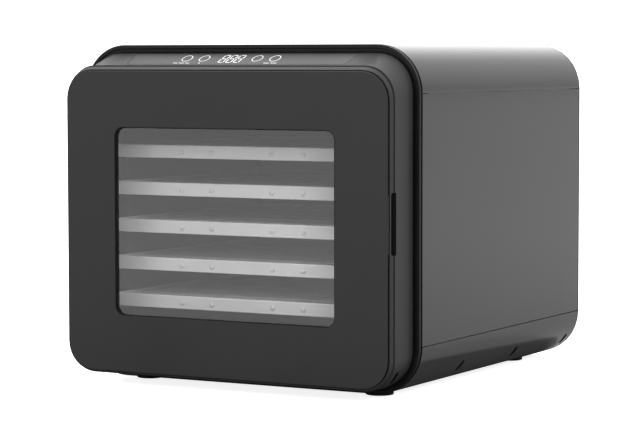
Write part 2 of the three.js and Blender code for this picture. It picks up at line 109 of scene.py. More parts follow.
def new_object(name, bm, smooth=True, even=True):
    """A scene object from the bmesh, which is freed."""
    bmesh.ops.recalc_face_normals(bm, faces=bm.faces)
    mesh = bpy.data.meshes.new(name)
    bm.to_mesh(mesh)
    bm.free()
    for p in mesh.polygons:
        p.use_smooth = smooth
    obj = bpy.data.objects.new(name, mesh)
    bpy.context.scene.collection.objects.link(obj)
    if smooth and even:
        even_normals(obj)
    return obj


def closed_skin(name, rings):
    """A skin through rings of (y, loop), with the last ring joined to the first."""
    bm = bmesh.new()
    rows = [[bm.verts.new(at(x, y, z)) for x, z in loop] for y, loop in rings]
    for a, b in zip(rows, rows[1:] + rows[:1]):
        bridge(bm, a, b)
    return new_object(name, bm)


def soften(node, width, segments, angle=34):
    """Rounds the sharp edges of a CAD node that is carried over, by modifiers only."""
    obj = NODES[node]
    for p in obj.data.polygons:
        p.use_smooth = True
    weld = obj.modifiers.new("weld", "WELD")
    weld.merge_threshold = 1e-6  # metres
    flat = obj.modifiers.new("flat", "DECIMATE")
    flat.decimate_type = "DISSOLVE"
    flat.angle_limit = math.radians(0.5)
    bevel(obj, width, segments, angle)
    even_normals(obj, weight=90)


def own(obj, body, finishes, slot, *nodes):
    """Finishes a piece: its materials, the body that it rides on and what it stands for. Its record slot is not
    used.
    """
    for finish in finishes:
        obj.data.materials.append(finish)
    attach(obj, body)
    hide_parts(*nodes)


# ---- node helpers ------------------------------------------------------------------------------------
def math_node(tree, operation, *values):
    """A Math node's output. Each value is a socket to link or a number."""
    node = tree.nodes.new("ShaderNodeMath")
    node.operation = operation
    for socket, value in zip(node.inputs, values):
        if isinstance(value, bpy.types.NodeSocket):
            tree.links.new(value, socket)
        else:
            socket.default_value = value
    return node.outputs[0]


def map_range(tree, value, low, high, to_low, to_high, smooth=False):
    """A Map Range node's output: value from low..high to to_low..to_high, clamped."""
    node = tree.nodes.new("ShaderNodeMapRange")
    if smooth:
        node.interpolation_type = "SMOOTHSTEP"
    for socket, number in (("From Min", low), ("From Max", high), ("To Min", to_low), ("To Max", to_high)):
        node.inputs[socket].default_value = number
    tree.links.new(value, node.inputs["Value"])
    return node.outputs["Result"]


def axes(tree, coordinates):
    """Separate outputs X, Y and Z of the named texture coordinates."""
    source = tree.nodes.new("ShaderNodeTexCoord")
    parts = tree.nodes.new("ShaderNodeSeparateXYZ")
    tree.links.new(source.outputs[coordinates], parts.inputs["Vector"])
    return parts.outputs


# ---- materials ---------------------------------------------------------------------------------------
NOISE_LOW, NOISE_HIGH = 0.3, 0.7  # the useful part of a noise texture's range
WIDE_SCALE = 9  # patches of about 100 mm


def material(name, color, rough, metal=0.0, grain=(600, 0.15), bump=0.02, vary=0.12, rough_vary=0.08,
             **sockets):
    """A Principled material with noise in its colour, roughness and fine bump.

    grain is the fine noise's scale and its share of the colour change, and bump is its height in mm.
    """
    m = bpy.data.materials.new(name)
    m.use_nodes = True
    t = m.node_tree
    shader = t.nodes["Principled BSDF"]
    shader.inputs["Metallic"].default_value = metal
    for key, value in sockets.items():
        shader.inputs[key.replace("_", " ")].default_value = value
    place = t.nodes.new("ShaderNodeTexCoord").outputs["Object"]
    noises = []
    for scale, detail in ((grain[0], 3), (WIDE_SCALE, 4)):
        noise = t.nodes.new("ShaderNodeTexNoise")
        noise.inputs["Scale"].default_value = scale
        noise.inputs["Detail"].default_value = detail
        t.links.new(place, noise.inputs["Vector"])
        noises.append(noise.outputs["Fac"])
    fine, wide = noises
    mixed = math_node(t, "MULTIPLY_ADD", fine, grain[1], wide)
    tint = t.nodes.new("ShaderNodeVectorMath")
    tint.operation = "SCALE"
    tint.inputs[0].default_value = color
    t.links.new(map_range(t, mixed, NOISE_LOW, NOISE_HIGH + grain[1], 1 - vary, 1 + vary), tint.inputs["Scale"])
    t.links.new(tint.outputs["Vector"], shader.inputs["Base Color"])
    t.links.new(map_range(t, wide, NOISE_LOW, NOISE_HIGH, rough - rough_vary, rough + rough_vary),
                shader.inputs["Roughness"])
    relief = t.nodes.new("ShaderNodeBump")
    relief.inputs["Strength"].default_value = 1.0
    relief.inputs["Distance"].default_value = bump * MM
    t.links.new(fine, relief.inputs["Height"])
    t.links.new(relief.outputs["Normal"], shader.inputs["Normal"])
    return m


COAT = material("charcoal_coat", (0.018, 0.018, 0.0184), 0.14, grain=(1400, 0.2), bump=0.004, rough_vary=0.02)
BEZEL = material("moulded_charcoal", (0.022, 0.022, 0.0225), 0.46, grain=(1100, 0.2), bump=0.01,
                 rough_vary=0.03, Specular_IOR_Level=0.26)
DOOR = material("door_semi_gloss", (0.008, 0.008, 0.0083), 0.36, grain=(1100, 0.2), bump=0.015,
                Specular_IOR_Level=0.36)
RING = material("ring_black", (0.004, 0.004, 0.004), 0.42, grain=(900, 0.2), Specular_IOR_Level=0.2)
# Painted shade: near black on the walls of slots and of the door's window, standing in for the shade inside
# them.
PAINTED_SLOT_SHADE = material("painted_slot_shade", (0.004, 0.004, 0.004), 0.7, grain=(900, 0.2), Specular_IOR_Level=0.15)
PANEL = material("panel_satin", (0.030, 0.030, 0.0305), 0.46, grain=(500, 0.1), bump=0.004,
                 Specular_IOR_Level=0.3)
RUBBER = material("rubber_black", (0.012, 0.012, 0.012), 0.75, grain=(900, 0.3), bump=0.05)
TRAY = material("tray_plastic", (0.44, 0.44, 0.44), 0.42, grain=(500, 0.2))
SHEET = material("chamber_sheet", (0.19, 0.19, 0.19), 0.38, 0.7, grain=(700, 0.3), bump=0.01)
STEEL = material("plated_steel", (0.50, 0.50, 0.51), 0.30, 1.0, grain=(900, 0.3), bump=0.01)
HINGE = material("black_plated_steel", (0.045, 0.045, 0.046), 0.40, 0.6, grain=(900, 0.3), bump=0.01)
NICKEL = material("magnet_nickel", (0.62, 0.61, 0.58), 0.22, 1.0, grain=(400, 0.3), bump=0.006)
BOARD = material("circuit_board", (0.02, 0.10, 0.04), 0.45, grain=(300, 0.6))
MOULDED = material("moulded_black", (0.014, 0.014, 0.014), 0.5, grain=(900, 0.3), bump=0.03)
MOTOR = material("motor_shell", (0.40, 0.40, 0.41), 0.36, 1.0, grain=(500, 0.3), bump=0.01)
FAN = material("fan_sheet", (0.42, 0.42, 0.43), 0.34, 1.0, grain=(500, 0.3), bump=0.01)
HEATER = material("heater_sheath", (0.16, 0.11, 0.09), 0.45, 0.9, grain=(300, 0.5), vary=0.3)
WIRE = material("wire_cover", (0.25, 0.03, 0.02), 0.5, grain=(900, 0.3))
PRINT = material("print_white", (0.72, 0.72, 0.72), 0.5, grain=(900, 0.1), bump=0.002)


def glass_material():
    """Clear door glass: what is behind shows through a light tint, under the mirror of its outer face."""
    m = bpy.data.materials.new("door_glass_clear")
    m.use_nodes = True
    t = m.node_tree
    t.nodes.remove(t.nodes["Principled BSDF"])
    through = t.nodes.new("ShaderNodeBsdfTransparent")
    through.inputs["Color"].default_value = (0.965, 0.965, 0.965, 1)
    gloss = t.nodes.new("ShaderNodeBsdfGlossy")
    gloss.inputs["Color"].default_value = (0.9, 0.9, 0.9, 1)
    gloss.inputs["Roughness"].default_value = 0.05
    fresnel = t.nodes.new("ShaderNodeFresnel")
    fresnel.inputs["IOR"].default_value = 2.05  # stands for the reflections of both faces
    # The light isn't bent, so only the face that a ray meets first may mirror.
    first = math_node(t, "SUBTRACT", 1, t.nodes.new("ShaderNodeNewGeometry").outputs["Backfacing"])
    mix = t.nodes.new("ShaderNodeMixShader")
    t.links.new(math_node(t, "MULTIPLY", fresnel.outputs["Fac"], first), mix.inputs["Fac"])
    t.links.new(through.outputs["BSDF"], mix.inputs[1])
    t.links.new(gloss.outputs["BSDF"], mix.inputs[2])
    t.links.new(mix.outputs["Shader"], t.nodes["Material Output"].inputs["Surface"])
    return m


GLASS = glass_material()
CORNERS = ("front_left", "front_right", "rear_left", "rear_right")
TRAYS = [f"tray_{i}" for i in range(1, 6)]
REAR_SCREWS = [f"rear_screw_{i}" for i in range(1, 5)]
FINISHES = (
    (COAT, ("top_cover", "left_side_panel", "right_side_panel", "bottom_cover", "rear_cover")),
    (BEZEL, ("front_bezel", "door_frame")),
    (DOOR, ("door_plate",)),
    (PANEL, ("control_panel",)),
    (RING, ("trim_ring",)),
    (RUBBER, ["door_seal"] + [f"foot_{where}" for where in CORNERS]),
    (GLASS, ("door_glass",)),
    (TRAY, TRAYS),
    (SHEET, ("chamber_liner", "rear_baffle", "fan_housing")),
    (BOARD, ("display_board", "power_board")),
    (MOULDED, ("power_inlet", "thermal_cutout")),
    (NICKEL, ("door_magnet_lower", "door_magnet_upper")),
    (MOTOR, ("fan_motor",)),
    (FAN, ("fan_impeller",)),
    (HEATER, ("heater_element",)),
    (WIRE, ("wiring_loom",)),
    (HINGE, ("hinge_lug_lower", "hinge_lug_upper", "hinge_pin_lower", "hinge_pin_upper")),
    (STEEL, [f"foot_screw_{where}" for where in CORNERS] + REAR_SCREWS),
    (STEEL, ("heater_bracket", "liner_bracket_front", "liner_bracket_rear", "motor_bracket", "motor_shaft",
             "seam_strip_lower_left", "seam_strip_lower_right", "seam_strip_upper_left",
             "seam_strip_upper_right", "strike_plate_lower", "strike_plate_upper", "temperature_sensor")),
)
for finish, names in FINISHES:
    for name in names:
        NODES[name].data.materials.clear()
        NODES[name].data.materials.append(finish)


# ---- door --------------------------------------------------------------------------------------------
PLATE = (165.3, 14.1, 287.5, 25.3)  # plans are (half width, bottom, top, corner radius)
WINDOW = (112.8, 66.1, 236, 8)
PLATE_THICK, PLATE_EASE = 3, 0.2  # thickness, and the small chamfer of its rear edges
RIM_ROUND, WINDOW_ROUND = 0.45, 1.2
RIM_LOOPS, WINDOW_LOOPS = (1.0, 8), (2.0, 6)  # loops on the flat faces, near the edge and further in
RIM_MID_Y, WINDOW_MID_Y = 1.0, 1.8


def door_plate():
    """Front plate of the door: a crisp rim and a softly broken window edge whose walls carry painted shade."""
    back, eased = PLATE_THICK, PLATE_THICK - PLATE_EASE
    rings = [(back, inset(PLATE, PLATE_EASE)), (eased, inset(PLATE, 0)), (RIM_MID_Y, inset(PLATE, 0))]
    rings += [(y, inset(PLATE, d)) for d, y in arc_steps(RIM_ROUND, 4)]
    rings += [(0, inset(PLATE, d)) for d in RIM_LOOPS]
    rings += [(0, inset(WINDOW, -d)) for d in reversed(WINDOW_LOOPS)]
    rings += [(y, inset(WINDOW, -d)) for d, y in reversed(list(arc_steps(WINDOW_ROUND, 6)))]
    rings += [(WINDOW_MID_Y, inset(WINDOW, 0)), (eased, inset(WINDOW, 0)), (back, inset(WINDOW, -PLATE_EASE))]
    rings += [(back, inset(WINDOW, -WINDOW_LOOPS[1])), (back, inset(PLATE, RIM_LOOPS[1]))]
    plate = closed_skin("door_front", rings)
    near, skin = 2, 0.1  # the walls lie this near to the window's plan, and this far inside both faces
    w, z0, z1, _ = WINDOW
    # The window's walls take the second material, painted shade standing in for the shade in that recess.
    for p in plate.data.polygons:
        x, y, z = p.center.x / MM, (p.center.y - FACE_Y) / MM, p.center.z / MM
        if skin < y < back - skin and abs(x) < w + near and z0 - near < z < z1 + near:
            p.material_index = 1
    return plate


own(door_plate(), "door", (DOOR, PAINTED_SLOT_SHADE), "door_black", "door_plate")

GASKET = (146, 44, 262, 16)
# (distance in, y) round the gasket: a flat back and two lips that meet the bezel round the chamber's mouth
GASKET_SECTION = [(0, 5.7), (5.5, 5.7), (5.5, 6.5), (5.0, 7.2), (4.3, 7.7), (3.6, 7.2), (2.75, 6.5),
                  (1.9, 7.2), (1.2, 7.7), (0.5, 7.2), (0, 6.5)]
own(closed_skin("door_gasket", [(y, inset(GASKET, d)) for d, y in GASKET_SECTION]),
    "door", (RUBBER,), "soft_black", "door_seal")

# ---- trim ring ---------------------------------------------------------------------------------------
HALF_W, BASE_Z, TOP_Z, HOUSE_R = 174, 4, 311, 43
HOUSE = (HALF_W, BASE_Z, TOP_Z, HOUSE_R)
# (distance in, y) round the ring: a groove at the bezel and a raised, rounded outer lip
RING_SECTION = [(9.6, 46.8), (9.6, 44.6), (4.0, 44.6), (3.6, 44.5), (3.5, 44.3), (3.5, 43.6), (3.42, 43.35),
                (3.2, 43.2), (3.0, 43.2), (0.7, 43.2), (0.5, 43.22), (0.25, 43.33), (0.08, 43.55), (0, 43.8),
                (0, 44.2), (0, 46.2), (0.03, 46.4), (0.2, 46.7), (0.5, 46.8)]
own(closed_skin("trim_ring_soft", [(y, inset(HOUSE, d, 20)) for d, y in RING_SECTION]),
    "base", (RING,), "soft_black", "trim_ring")

# ---- trays -------------------------------------------------------------------------------------------
TRAY_HALF_W, TRAY_Y0, TRAY_Y1, TRAY_H, TRAY_WALL = 138, 34, 300, 12, 2.4
TRAY_CORNER, TRAY_TAPER = 3.2, 0.7  # corner radius outside, and how fast it shrinks inwards
FLOOR_DROP = 3.4  # from the rim's top down to the middle of the mesh
BITE = 1.8  # strands and ribs start this far inside the rim's outer face
RIBS, RIB_WIDTH, RIB_HEIGHT = 6, 3.0, 2.0  # bays each way, and a rib's section
CELLS, STRAND, STRAND_LIFT = 54, 1.1, 0.15  # cells each way, a strand's section, and how the two ways weave
BOSS_X, BOSS_DROP, BOSS_RADII = (-63.3, -31.5, 31.5, 63.3), 6.6, (2.6, 1.3, 2.3)
BOSS_IN = 0.45  # depth of a boss's centre behind the lip


def strand(bm, p, q, width, height):
    """A mesh strand or rib with a six-sided section from p to q, both level."""
    along = (q - p).normalized()
    side = Vector((-along.y, along.x, 0)) * width * MM / 2
    up = Vector((0, 0, height * MM / 2))
    shoulder = side * 0.6
    ring = [side, shoulder + up, -shoulder + up, -side, -shoulder - up, shoulder - up]
    a, b = [bm.verts.new(p + r) for r in ring], [bm.verts.new(q + r) for r in ring]
    bridge(bm, a, b)
    bm.faces.new(a)
    bm.faces.new(b)


def lattice(bm, bays, z_back, z_across, width, height):
    """Strands that run back and across, bays of them each way, at two levels."""
    w, y0, y1, wall = TRAY_HALF_W, TRAY_Y0, TRAY_Y1, TRAY_WALL
    for k in range(1, bays):
        x = -w + wall + k * (2 * w - 2 * wall) / bays
        y = y0 + wall + k * (y1 - y0 - 2 * wall) / bays
        strand(bm, at(x, y0 + BITE, z_back), at(x, y1 - BITE, z_back), width, height)
        strand(bm, at(-w + BITE, y, z_across), at(w - BITE, y, z_across), width, height)


def tray_mesh(name, top):
    """Tray with a rounded rim, a front strip with a bottom lip and small bosses, ribs and a fine mesh."""
    low = top - TRAY_H
    bm = bmesh.new()
    section = [(0.5, low), (0.0, low + 0.3), (0.0, low + 1.3), (0.45, low + 1.7), (0.45, top - 1.5),
               (0.6, top - 0.6), (1.0, top - 0.12), (1.5, top), (2.0, top - 0.12), (TRAY_WALL, top - 0.6),
               (TRAY_WALL, low + 0.2), (2.2, low)]
    middle, half = (TRAY_Y0 + TRAY_Y1) / 2, (TRAY_Y1 - TRAY_Y0) / 2
    rows = []
    for d, z in section:
        plan = outline(TRAY_HALF_W - d, -half + d, half - d, TRAY_CORNER - d * TRAY_TAPER, 5, 4)
        rows.append([bm.verts.new(at(x, middle + y, z)) for x, y in plan])
    for a, b in zip(rows, rows[1:] + rows[:1]):
        bridge(bm, a, b)
    level = top - FLOOR_DROP
    lattice(bm, RIBS, level, level, RIB_WIDTH, RIB_HEIGHT)
    lattice(bm, CELLS, level + STRAND_LIFT, level - STRAND_LIFT, STRAND, STRAND)
    for x in BOSS_X:
        boss = bmesh.ops.create_uvsphere(bm, u_segments=16, v_segments=8, radius=1.0)["verts"]
        for v in boss:
            stretched = Vector([c * r for c, r in zip(v.co, BOSS_RADII)])
            v.co = at(x, TRAY_Y0 + BOSS_IN, top - BOSS_DROP) + stretched * MM
    return new_object(name, bm)


for node in TRAYS:
    own(tray_mesh(f"mesh_{node}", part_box(node)[1].z / MM), f"{node}_body", (TRAY,), "tray_plastic", node)

# ---- feet --------------------------------------------------------------------------------------------
# (radius, height): a hollow rubber foot with a grooved sole and a rounded side
FOOT_PROFILE = [(2.4, 3.7), (2.4, 2.0), (4.0, 2.0), (4.2, 1.8), (4.2, 0.4), (4.6, 0), (7.2, 0), (7.5, 0.35),
                (8.1, 0.35), (8.4, 0), (11.8, 0), (12.4, 0.25), (12.7, 0.9), (12.7, 3.0), (12.5, 3.5),
                (12.1, 3.7)]
FOOT_SIDES = 48


def lathe(name, centre, profile):
    """A closed (radius, height) profile turned about the vertical through centre."""
    bm = bmesh.new()
    rows = []
    for k in range(FOOT_SIDES):
        c, s = math.cos(2 * math.pi * k / FOOT_SIDES), math.sin(2 * math.pi * k / FOOT_SIDES)
        rows.append([bm.verts.new(centre + Vector((r * c, r * s, z)) * MM) for r, z in profile])
    for a, b in zip(rows, rows[1:] + rows[:1]):
        bridge(bm, a, b)
    return new_object(name, bm)


for where in CORNERS:
    lo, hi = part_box(f"foot_{where}")
    centre = Vector(((lo.x + hi.x) / 2, (lo.y + hi.y) / 2, 0))
    own(lathe(f"pad_{where}", centre, FOOT_PROFILE), "base", (RUBBER,), "soft_black", f"foot_{where}")

# ---- printed marks on the control panel: x across, s up its slope ------------------------------------
PANEL_Y, PANEL_Z = 20, 293.2  # front edge of the sloped facet
SLOPE = math.atan2(10, 21.4)
PRINT_TOP, PRINT_LOW = 0.05, -0.02  # a print's faces above and below the panel's surface
KEY_X, KEY_S = (-54.7, -36.5, 18.8, 37.0), 12.7
KEY_RX, KEY_RS, KEY_LINE = 5.2, 6.2, 0.7
CAPTIONS = ((-64.5, -60), (-58.5, -53), (-51.6, -47.4), (30, 35.4), (37.2, 43.3))
CAPTION_S = (2.6, 3.5)
DOT_X, DOT_S, DOT_R = -37.1, 3.1, 0.8
DIGIT_X, DIGIT_STEP, DIGIT_S = -18.6, 8.0, 4.4  # first digit's corner and the step to the next
DIGIT_W, DIGIT_ROW, DIGIT_LEAN, DIGIT_BAR = 5.4, 7.4, 0.10, 1.0
BAR_GAPS = (0.08, 0.06)  # share of a bar left open at each end, across and up
# A digit's seven bars, each between two points of (column, row)
BARS = (((0, 0), (1, 0)), ((0, 1), (1, 1)), ((0, 2), (1, 2)), ((0, 0), (0, 1)),
        ((1, 0), (1, 1)), ((0, 1), (0, 2)), ((1, 1), (1, 2)))


def on_panel(x, s, n):
    """A point on the control panel, n out of its surface."""
    cos, sin = math.cos(SLOPE), math.sin(SLOPE)
    return at(x, PANEL_Y + s * cos - n * sin, PANEL_Z + s * sin + n * cos)


def printed(bm, points, hole=None):
    """A thin raised print: a polygon, or the band between it and an inner loop of equal count."""
    top, low = ([bm.verts.new(on_panel(x, s, n)) for x, s in points] for n in (PRINT_TOP, PRINT_LOW))
    bridge(bm, low, top)
    if not hole:
        bm.faces.new(top)
        bm.faces.new(low)
        return
    top_in, low_in = ([bm.verts.new(on_panel(x, s, n)) for x, s in hole] for n in (PRINT_TOP, PRINT_LOW))
    bridge(bm, top, top_in)
    bridge(bm, low_in, low)
    bridge(bm, top_in, low_in)


def ellipse(x, s, rx, rs, n=28):
    """A loop of n points round (x, s)."""
    turns = [2 * math.pi * k / n for k in range(n)]
    return [(x + rx * math.cos(a), s + rs * math.sin(a)) for a in turns]


def bar(bm, x0, s0, x1, s1, w):
    """One bar of a digit, with pointed ends."""
    dx, ds = x1 - x0, s1 - s0
    length = math.hypot(dx, ds)
    ux, us = dx / length * w / 2, ds / length * w / 2
    printed(bm, [(x0, s0), (x0 + ux - us, s0 + us + ux), (x1 - ux - us, s1 - us + ux), (x1, s1),
                 (x1 - ux + us, s1 - us - ux), (x0 + ux + us, s0 + us - ux)])


def panel_marks():
    """Rings round the touch keys, and plain bars and a dot where captions are."""
    bm = bmesh.new()
    for x in KEY_X:
        printed(bm, ellipse(x, KEY_S, KEY_RX, KEY_RS),
                ellipse(x, KEY_S, KEY_RX - KEY_LINE, KEY_RS - KEY_LINE))
    s0, s1 = CAPTION_S
    for x0, x1 in CAPTIONS:
        printed(bm, [(x0, s0), (x1, s0), (x1, s1), (x0, s1)])
    printed(bm, ellipse(DOT_X, DOT_S, DOT_R, DOT_R, 14))
    return new_object("panel_marks", bm, False)


def display_digits():
    """Three generic seven-segment digits that lean to the right."""
    bm = bmesh.new()

    def corner(k, column, row):
        rise = row * DIGIT_ROW
        return DIGIT_X + DIGIT_STEP * k + column * DIGIT_W + rise * DIGIT_LEAN, DIGIT_S + rise

    for k in range(3):
        for a, b in BARS:
            (xa, sa), (xb, sb) = corner(k, *a), corner(k, *b)
            gx, gs = (xb - xa) * BAR_GAPS[0], (sb - sa) * BAR_GAPS[1]
            bar(bm, xa + gx, sa + gs, xb - gx, sb - gs, DIGIT_BAR)
    return new_object("display_digits", bm, False)


for mark in (panel_marks(), display_digits()):
    mark.data.materials.append(PRINT)
    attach(mark, "base")

# ---- sheet housing -----------------------------------------------------------------------------------
THICK, EDGE = 1.2, 0.4  # sheet thickness, and the reach of its rounded edges
HOUSE_Y = (49.5, 396)
SIDE_SEAMS = (47.15, 267.85)  # lower and upper edge of a side panel
TOP_SEAM = 268.15
FLAT_HALF, ARC_TOP_Z = HALF_W - HOUSE_R, TOP_Z - HOUSE_R  # where the bends begin
BAYS_Y, BAYS_X, BAYS_ARC, BAYS_Z = 12, 14, 28, 10  # rows of faces along y, x, a bend and a side's height
ARC_START = 0.2  # degrees above the horizontal, just over the seam


def sheet(name, path):
    """Bent sheet along a path of (x, z, normal x, normal z), with rounded front, rear and seam edges."""
    y0, y1 = HOUSE_Y
    third = EDGE * 0.3
    across = [(y0 + EDGE, 0), (y0 + third, -third), (y0, -EDGE), (y0, -THICK), (y1, -THICK), (y1, -EDGE),
              (y1 - third, -third), (y1 - EDGE, 0)]
    across += [(y1 - EDGE - (y1 - y0 - 2 * EDGE) * k / BAYS_Y, 0) for k in range(1, BAYS_Y)]
    bm = bmesh.new()
    rows = []
    for k, (x, z, nx, nz) in enumerate(path):
        least = EDGE if k in (0, len(path) - 1) else 0
        rows.append([bm.verts.new(at(x + nx * min(off, -least), y, z + nz * min(off, -least)))
                     for y, off in across])
    for a, b in zip(rows, rows[1:]):
        bridge(bm, a, b)
    bm.faces.new(rows[0])
    bm.faces.new(rows[-1])
    return new_object(name, bm)


def top_path():
    """The top cover's section, from the right seam over the top to the left seam."""
    angles = [math.radians(ARC_START + (90 - ARC_START) * k / BAYS_ARC) for k in range(BAYS_ARC + 1)]
    arc = [(FLAT_HALF + HOUSE_R * math.cos(a), ARC_TOP_Z + HOUSE_R * math.sin(a), math.cos(a), math.sin(a))
           for a in angles]
    flat = [(FLAT_HALF - 2 * FLAT_HALF * k / BAYS_X, TOP_Z, 0, 1) for k in range(1, BAYS_X)]
    right = [(HALF_W, TOP_SEAM, 1, 0), (HALF_W, TOP_SEAM + EDGE, 1, 0.001)] + arc[2:]
    return right + flat + [(-x, z, -nx, nz) for x, z, nx, nz in reversed(right)]


def side_path(side):
    """A side panel's section, from its lower seam to its upper one."""
    low, high = SIDE_SEAMS
    levels = [low, low + EDGE] + [low + (high - low) * k / BAYS_Z for k in range(1, BAYS_Z)]
    return [(side * HALF_W, z, side, 0) for z in levels + [high - EDGE, high]]


own(sheet("top_sheet", top_path()), "base", (COAT,), "housing_coat", "top_cover")
for name, side in (("left", -1), ("right", 1)):
    own(sheet(f"{name}_sheet", side_path(side)), "base", (COAT,), "housing_coat", f"{name}_side_panel")

SLOT_Y = (146, 264, 382.5)
SLOT_ANGLE = 40  # a slot's middle on the bend, in degrees below the horizontal
SLOT_HALF, SLOT_TIP = 6.5, 3.2  # half its length, and half its width, which rounds its ends
SLOT_REACH = math.degrees(SLOT_HALF / HOUSE_R)
SLOT_STEPS = (-1, -0.9, -0.65, -0.3, 0, 0.3, 0.65, 0.9, 1)  # grid lines across a slot, in half widths
SLOT_GUARDS = (3.8, 6.8)  # grid lines beside it
# Grid lines round the bend, in degrees: above a slot, across it and below it
BENDS_ABOVE = [0.5, 1.1, 4, 8, 12, 16, 20, 23, 26, 28]
BENDS_ACROSS = [SLOT_ANGLE + d for d in (-SLOT_REACH, -5, -2.5, 0, 2.5, 5, SLOT_REACH)]
BENDS_BELOW = [52, 54, 57, 60, 64, 68, 72, 76, 80, 84, 88, 89.6]
PLAIN_Y = [74, 98, 122, 172, 198, 224, 240, 290, 315, 340, 360]  # grid lines between the slots
END_GUARD = 1.5


def bottom_sheet():
    """Lower sheet as an open grid of quads with six corner slots, given its thickness by a modifier."""
    bends = BENDS_ABOVE + BENDS_ACROSS + BENDS_BELOW
    first, last = len(BENDS_ABOVE), len(BENDS_ABOVE) + len(BENDS_ACROSS) - 1
    ys = PLAIN_Y + [HOUSE_Y[0], HOUSE_Y[0] + END_GUARD, HOUSE_Y[1] - END_GUARD, HOUSE_Y[1]]
    for c in SLOT_Y:
        ys += [c + sign * guard for sign in (-1, 1) for guard in SLOT_GUARDS]
        ys += [c + SLOT_TIP * k for k in SLOT_STEPS]
    ys.sort()
    centre_z = BASE_Z + HOUSE_R

    def bend_angle(k, y):
        """The grid line's angle at y, pulled in at a slot's two rounded ends."""
        pull = 0
        for c in SLOT_Y:
            off = abs(y - c)
            if k in (first, last) and off < SLOT_TIP + 0.01:
                pull = SLOT_TIP - math.sqrt(max(SLOT_TIP * SLOT_TIP - off * off, 0))
        return math.radians(bends[k] + math.degrees(pull / HOUSE_R) * (1 if k == first else -1))

    bm = bmesh.new()
    sides = []
    for side in (1, -1):
        lines = []
        for k in range(len(bends)):
            line = []
            for y in ys:
                a = bend_angle(k, y)
                x, z = FLAT_HALF + HOUSE_R * math.cos(a), centre_z - HOUSE_R * math.sin(a)
                line.append(bm.verts.new(at(side * x, y, z)))
            lines.append(line)
        sides.append(lines)
    level = [[bm.verts.new(at(FLAT_HALF - 2 * FLAT_HALF * k / BAYS_X, y, BASE_Z)) for y in ys]
             for k in range(BAYS_X + 1)]
    path = sides[0] + level + sides[1][::-1]
    for i, (a, b) in enumerate(zip(path, path[1:])):
        k = i if i < len(bends) else len(path) - 2 - i
        for j, (y0, y1) in enumerate(zip(ys, ys[1:])):
            in_slot = any(abs((y0 + y1) / 2 - c) < SLOT_TIP for c in SLOT_Y)
            if not (first <= k < last and in_slot):
                bm.faces.new((a[j], a[j + 1], b[j + 1], b[j]))
    obj = new_object("bottom_sheet", bm, even=False)
    # The solidified rims, the slots' walls among them, take the second material: painted shade.
    skin = obj.modifiers.new("skin", "SOLIDIFY")
    skin.thickness, skin.offset, skin.material_offset_rim = THICK * MM, -1, 1
    bevel(obj, width=0.15, segments=2, angle=50)
    even_normals(obj)
    return obj


own(bottom_sheet(), "base", (COAT, PAINTED_SLOT_SHADE), "housing_coat", "bottom_cover")

# ---- painted shade in the slots of the CAD nodes that are carried over -------------------------------
FINGER_LO, FINGER_HI = at(157, 3.05, 129), at(167.95, 10.45, 185)  # box round the finger slot's walls
for node in ("front_bezel", "door_frame"):
    NODES[node].data.materials.append(PAINTED_SLOT_SHADE)
    for p in NODES[node].data.polygons:
        if all(FINGER_LO[k] < p.center[k] < FINGER_HI[k] for k in range(3)):
            p.material_index = 1

BEZEL_SLOT = (137.2, 18.5, 41.8)  # centre of the corner's bend at the slot, on the right
BEZEL_ANGLE = math.radians(37)  # the slot's middle, below the horizontal
BEZEL_REACH = (22, 33)  # the walls' distance from that centre
# The walls of the bezel's corner slots also get the painted shade.
for p in NODES["front_bezel"].data.polygons:
    side = 1 if p.center.x > 0 else -1
    radial = Vector((side * math.cos(BEZEL_ANGLE), 0, -math.sin(BEZEL_ANGLE)))
    off = (p.center - at(side * BEZEL_SLOT[0], *BEZEL_SLOT[1:])) / MM
    out = off.dot(radial)
    inside = abs(off.y) < SLOT_TIP + 0.1 and (off - radial * out).length < SLOT_HALF + 0.3
    if inside and BEZEL_REACH[0] < out < BEZEL_REACH[1] and abs(p.normal.dot(radial)) < 0.3:
        p.material_index = 1

# ---- softened edges of the CAD nodes that are carried over -------------------------------------------
for name in ("rear_cover", "front_bezel", "door_frame"):
    soften(name, width=0.4, segments=3)
soften("control_panel", width=0.3, segments=2)
for name in ["power_inlet", "chamber_liner", "rear_baffle", "hinge_lug_lower", "hinge_lug_upper",
             "strike_plate_lower", "strike_plate_upper", "door_magnet_lower", "door_magnet_upper",
             "fan_housing", "fan_motor", "fan_impeller", "motor_bracket", "power_board", "display_board",
             "liner_bracket_front", "liner_bracket_rear"] + REAR_SCREWS:
    soften(name, width=0.2, segments=2)
for name in ("heater_element", "wiring_loom"):
    soften(name, width=0.1, segments=1, angle=80)

# ---- camera (metres) ---------------------------------------------------------------------------------
CAMERA_PLACE = (1.1030, FACE_Y - 1.8132, 0.3012)
CAMERA_FORWARD = (-0.4842, 0.8723, -0.0676)
CAMERA_ROLL = -0.09  # degrees
cam_data = bpy.data.cameras.new("camera")
cam_data.lens, cam_data.sensor_width = 136.25, 36
cam_data.clip_start, cam_data.clip_end = 0.05, 50
camera = bpy.data.objects.new("camera", cam_data)
bpy.context.scene.collection.objects.link(camera)
camera.location = CAMERA_PLACE
camera.rotation_mode = "QUATERNION"
aim = Vector(CAMERA_FORWARD).normalized().to_track_quat("-Z", "Y")
camera.rotation_quaternion = aim @ Matrix.Rotation(math.radians(CAMERA_ROLL), 4, "Z").to_quaternion()
bpy.context.scene.camera = camera


